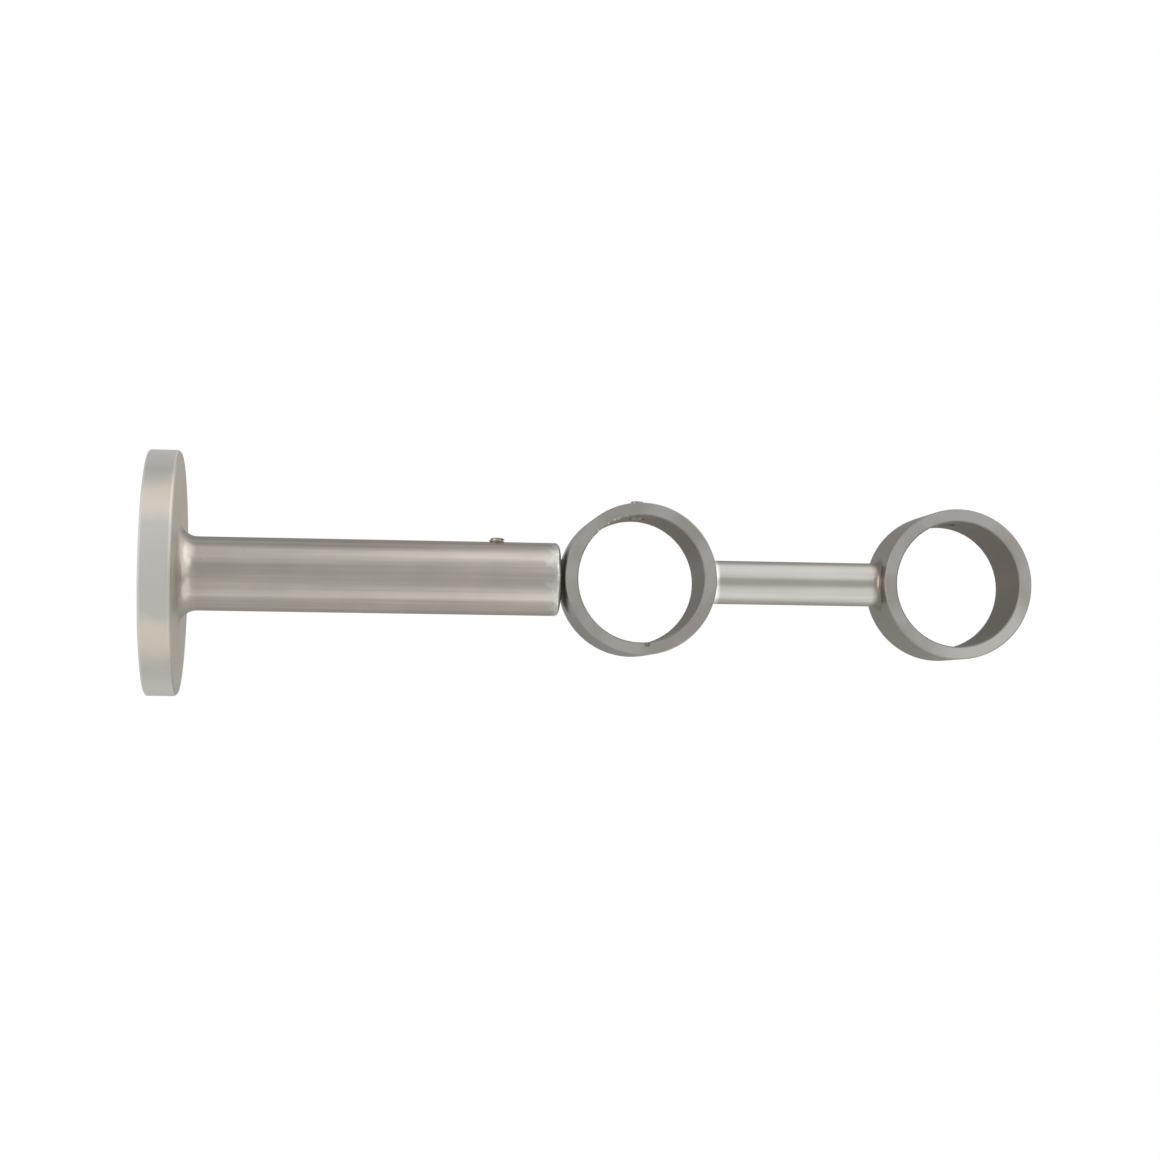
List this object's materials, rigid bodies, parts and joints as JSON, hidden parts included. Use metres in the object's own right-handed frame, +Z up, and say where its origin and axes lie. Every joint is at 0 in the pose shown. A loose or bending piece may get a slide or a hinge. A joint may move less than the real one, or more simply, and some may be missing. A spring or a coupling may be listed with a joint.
{
  "type": "double curtain pole bracket",
  "caption": "Wall bracket that carries a rear and a front curtain pole in closed rings, on an arm that slides in a round stem.",
  "frame": {"origin": "centre of the wall face, on the stem's axis", "axes": "+X out from the wall along the stem, +Y along the poles, +Z up"},
  "size_m": [0.2166, 0.0594, 0.0596],
  "materials": {
    "satin_nickel_body": "satin nickel plate on cast zinc",
    "satin_nickel_arm": "satin nickel plate on cast zinc",
    "zinc_plated_steel": "bright zinc plated steel",
    "screw_steel": "nickel plated steel"
  },
  "bodies": {
    "wall_part": {"wall_rose": "satin_nickel_body", "fixing_plate": "zinc_plated_steel", "stem_screw": "screw_steel", "rose_lock_screw": "screw_steel"},
    "arm": {"ring_arm": "satin_nickel_arm", "rear_ring_screw": "screw_steel"}
  },
  "joints": [
    {"name": "projection_slide", "type": "slide", "parent": "wall_part", "child": "arm", "axis": [1, 0, 0], "range_m": [0, 0.04]}
  ]
}
